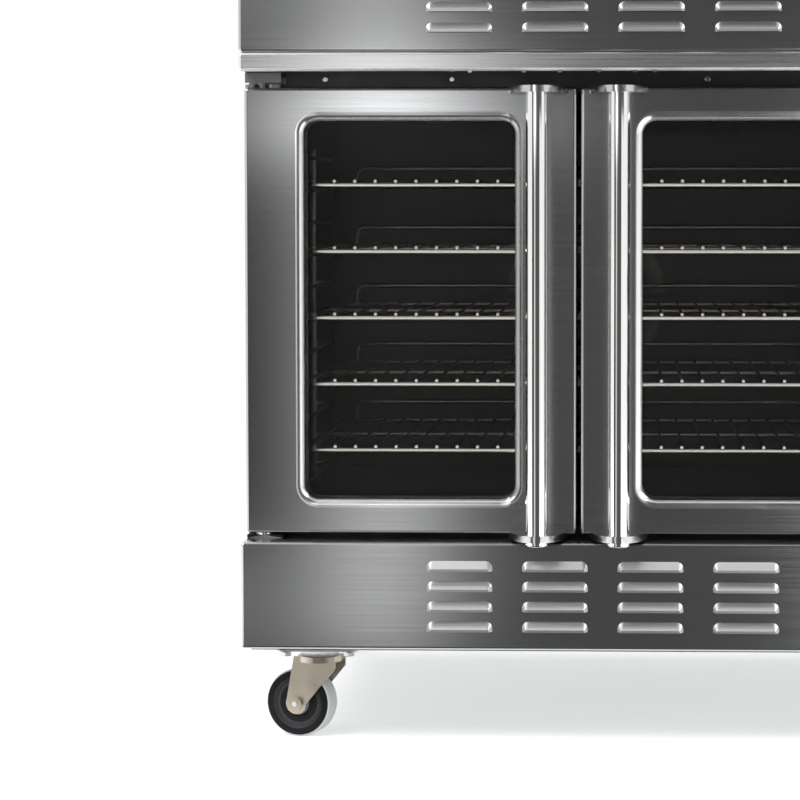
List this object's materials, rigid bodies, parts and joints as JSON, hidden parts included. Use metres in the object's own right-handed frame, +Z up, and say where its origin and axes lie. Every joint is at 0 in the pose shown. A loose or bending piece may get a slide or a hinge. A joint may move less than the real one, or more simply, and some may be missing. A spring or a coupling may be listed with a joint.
{
  "type": "convection oven",
  "caption": "Stainless steel gas convection oven stacked in decks on swivel casters, with paired glazed doors, full-height bar handles, wire racks and louvred base panels.",
  "frame": {"origin": "on the floor under the middle of the oven's box", "axes": "+Z up, the doors face -Y, +X to the control panel"},
  "size_m": [0.99, 0.9904, 1.56],
  "materials": {
    "stainless": "brushed",
    "polished": "polished stainless tube",
    "galvanised": "galvanised sheet",
    "zinc": "zinc plated",
    "plated_wire": "nickel plated wire",
    "enamel": "porcelain enamel",
    "motor_paint": "painted",
    "gas_pipe": "black pipe",
    "window_glass": "clear",
    "lamp_glass": "frosted",
    "gasket": "matt",
    "wool": "fibre wool",
    "tyre": "matt",
    "knob_plastic": "satin"
  },
  "bodies": {
    "root": {"back_panels": "galvanised", "base_pan": "galvanised", "caster_plates": "zinc", "cavity_liners": "enamel", "control_panels": "stainless", "door_gaskets": "gasket", "fan_baffles": "enamel", "fan_motors": "motor_paint", "flue_boxes": "galvanised", "front_frames": "stainless", "gas_trains": "gas_pipe", "hinge_brackets": "zinc", "insulation": "wool", "lamp_lenses": "lamp_glass", "louvre_panels": "stainless", "rack_guides": "plated_wire", "side_panels": "stainless", "top_panels": "stainless"},
    "lower_left_door": {"lower_left_door_skin": "stainless", "lower_left_door_liner": "stainless", "lower_left_door_glass": "window_glass", "lower_left_door_handle": "polished"},
    "lower_right_door": {"lower_right_door_skin": "stainless", "lower_right_door_liner": "stainless", "lower_right_door_glass": "window_glass", "lower_right_door_handle": "polished"},
    "lower_rack_1": {"lower_rack_1": "plated_wire"},
    "lower_rack_2": {"lower_rack_2": "plated_wire"},
    "lower_rack_3": {"lower_rack_3": "plated_wire"},
    "lower_rack_4": {"lower_rack_4": "plated_wire"},
    "lower_rack_5": {"lower_rack_5": "plated_wire"},
    "lower_fan_wheel": {"lower_fan_wheel": "zinc"},
    "lower_thermostat_knob": {"lower_thermostat_knob": "knob_plastic"},
    "lower_timer_knob": {"lower_timer_knob": "knob_plastic"},
    "lower_power_switch": {"lower_power_switch": "knob_plastic"},
    "upper_left_door": {"upper_left_door_skin": "stainless", "upper_left_door_liner": "stainless", "upper_left_door_glass": "window_glass", "upper_left_door_handle": "polished"},
    "upper_right_door": {"upper_right_door_skin": "stainless", "upper_right_door_liner": "stainless", "upper_right_door_glass": "window_glass", "upper_right_door_handle": "polished"},
    "upper_rack_1": {"upper_rack_1": "plated_wire"},
    "upper_rack_2": {"upper_rack_2": "plated_wire"},
    "upper_rack_3": {"upper_rack_3": "plated_wire"},
    "upper_rack_4": {"upper_rack_4": "plated_wire"},
    "upper_rack_5": {"upper_rack_5": "plated_wire"},
    "upper_fan_wheel": {"upper_fan_wheel": "zinc"},
    "upper_thermostat_knob": {"upper_thermostat_knob": "knob_plastic"},
    "upper_timer_knob": {"upper_timer_knob": "knob_plastic"},
    "upper_power_switch": {"upper_power_switch": "knob_plastic"},
    "front_left_caster_fork": {"front_left_caster_fork": "zinc"},
    "front_left_caster_wheel": {"front_left_caster_wheel": "tyre"},
    "front_right_caster_fork": {"front_right_caster_fork": "zinc"},
    "front_right_caster_wheel": {"front_right_caster_wheel": "tyre"},
    "rear_left_caster_fork": {"rear_left_caster_fork": "zinc"},
    "rear_left_caster_wheel": {"rear_left_caster_wheel": "tyre"},
    "rear_right_caster_fork": {"rear_right_caster_fork": "zinc"},
    "rear_right_caster_wheel": {"rear_right_caster_wheel": "tyre"}
  },
  "joints": [
    {"name": "lower_left_door_hinge", "type": "hinge", "parent": "root", "child": "lower_left_door", "pos_m": [-0.4725, -0.40625, 0.52775], "axis": [0, 0, -1], "range_deg": [0, 115]},
    {"name": "lower_right_door_hinge", "type": "hinge", "parent": "root", "child": "lower_right_door", "pos_m": [0.2975, -0.40625, 0.52775], "axis": [0, 0, 1], "range_deg": [0, 115]},
    {"name": "lower_rack_1_slide", "type": "slide", "parent": "root", "child": "lower_rack_1", "axis": [0, -1, 0], "range_m": [0, 0.028]},
    {"name": "lower_rack_2_slide", "type": "slide", "parent": "root", "child": "lower_rack_2", "axis": [0, -1, 0], "range_m": [0, 0.028]},
    {"name": "lower_rack_3_slide", "type": "slide", "parent": "root", "child": "lower_rack_3", "axis": [0, -1, 0], "range_m": [0, 0.028]},
    {"name": "lower_rack_4_slide", "type": "slide", "parent": "root", "child": "lower_rack_4", "axis": [0, -1, 0], "range_m": [0, 0.028]},
    {"name": "lower_rack_5_slide", "type": "slide", "parent": "root", "child": "lower_rack_5", "axis": [0, -1, 0], "range_m": [0, 0.028]},
    {"name": "lower_fan_spin", "type": "hinge", "parent": "root", "child": "lower_fan_wheel", "pos_m": [-0.0875, 0.30675, 0.52775], "axis": [0, 1, 0], "continuous": true},
    {"name": "lower_thermostat_knob_turn", "type": "hinge", "parent": "root", "child": "lower_thermostat_knob", "pos_m": [0.41, -0.41825, 0.549], "axis": [0, 1, 0], "range_deg": [0, 290]},
    {"name": "lower_timer_knob_turn", "type": "hinge", "parent": "root", "child": "lower_timer_knob", "pos_m": [0.41, -0.41825, 0.414], "axis": [0, 1, 0], "range_deg": [0, 330]},
    {"name": "lower_power_switch_rock", "type": "hinge", "parent": "root", "child": "lower_power_switch", "pos_m": [0.41, -0.40925, 0.669], "axis": [1, 0, 0], "range_deg": [-16, 0]},
    {"name": "upper_left_door_hinge", "type": "hinge", "parent": "root", "child": "upper_left_door", "pos_m": [-0.4725, -0.40625, 1.24775], "axis": [0, 0, -1], "range_deg": [0, 115]},
    {"name": "upper_right_door_hinge", "type": "hinge", "parent": "root", "child": "upper_right_door", "pos_m": [0.2975, -0.40625, 1.24775], "axis": [0, 0, 1], "range_deg": [0, 115]},
    {"name": "upper_rack_1_slide", "type": "slide", "parent": "root", "child": "upper_rack_1", "axis": [0, -1, 0], "range_m": [0, 0.028]},
    {"name": "upper_rack_2_slide", "type": "slide", "parent": "root", "child": "upper_rack_2", "axis": [0, -1, 0], "range_m": [0, 0.028]},
    {"name": "upper_rack_3_slide", "type": "slide", "parent": "root", "child": "upper_rack_3", "axis": [0, -1, 0], "range_m": [0, 0.028]},
    {"name": "upper_rack_4_slide", "type": "slide", "parent": "root", "child": "upper_rack_4", "axis": [0, -1, 0], "range_m": [0, 0.028]},
    {"name": "upper_rack_5_slide", "type": "slide", "parent": "root", "child": "upper_rack_5", "axis": [0, -1, 0], "range_m": [0, 0.028]},
    {"name": "upper_fan_spin", "type": "hinge", "parent": "root", "child": "upper_fan_wheel", "pos_m": [-0.0875, 0.30675, 1.24775], "axis": [0, 1, 0], "continuous": true},
    {"name": "upper_thermostat_knob_turn", "type": "hinge", "parent": "root", "child": "upper_thermostat_knob", "pos_m": [0.41, -0.41825, 1.269], "axis": [0, 1, 0], "range_deg": [0, 290]},
    {"name": "upper_timer_knob_turn", "type": "hinge", "parent": "root", "child": "upper_timer_knob", "pos_m": [0.41, -0.41825, 1.134], "axis": [0, 1, 0], "range_deg": [0, 330]},
    {"name": "upper_power_switch_rock", "type": "hinge", "parent": "root", "child": "upper_power_switch", "pos_m": [0.41, -0.40925, 1.389], "axis": [1, 0, 0], "range_deg": [-16, 0]},
    {"name": "front_left_caster_swivel", "type": "hinge", "parent": "root", "child": "front_left_caster_fork", "pos_m": [-0.408, -0.37825, 0.114], "axis": [0, 0, 1], "continuous": true},
    {"name": "front_left_caster_roll", "type": "hinge", "parent": "front_left_caster_fork", "child": "front_left_caster_wheel", "pos_m": [-0.43107, -0.37163, 0.042], "axis": [0.2756, 0.9613, 0], "continuous": true},
    {"name": "front_right_caster_swivel", "type": "hinge", "parent": "root", "child": "front_right_caster_fork", "pos_m": [0.408, -0.37825, 0.114], "axis": [0, 0, 1], "continuous": true},
    {"name": "front_right_caster_roll", "type": "hinge", "parent": "front_right_caster_fork", "child": "front_right_caster_wheel", "pos_m": [0.38493, -0.37163, 0.042], "axis": [0.2756, 0.9613, 0], "continuous": true},
    {"name": "rear_left_caster_swivel", "type": "hinge", "parent": "root", "child": "rear_left_caster_fork", "pos_m": [-0.408, 0.35025, 0.114], "axis": [0, 0, 1], "continuous": true},
    {"name": "rear_left_caster_roll", "type": "hinge", "parent": "rear_left_caster_fork", "child": "rear_left_caster_wheel", "pos_m": [-0.43107, 0.35686, 0.042], "axis": [0.2756, 0.9613, 0], "continuous": true},
    {"name": "rear_right_caster_swivel", "type": "hinge", "parent": "root", "child": "rear_right_caster_fork", "pos_m": [0.408, 0.35025, 0.114], "axis": [0, 0, 1], "continuous": true},
    {"name": "rear_right_caster_roll", "type": "hinge", "parent": "rear_right_caster_fork", "child": "rear_right_caster_wheel", "pos_m": [0.38493, 0.35686, 0.042], "axis": [0.2756, 0.9613, 0], "continuous": true}
  ]
}
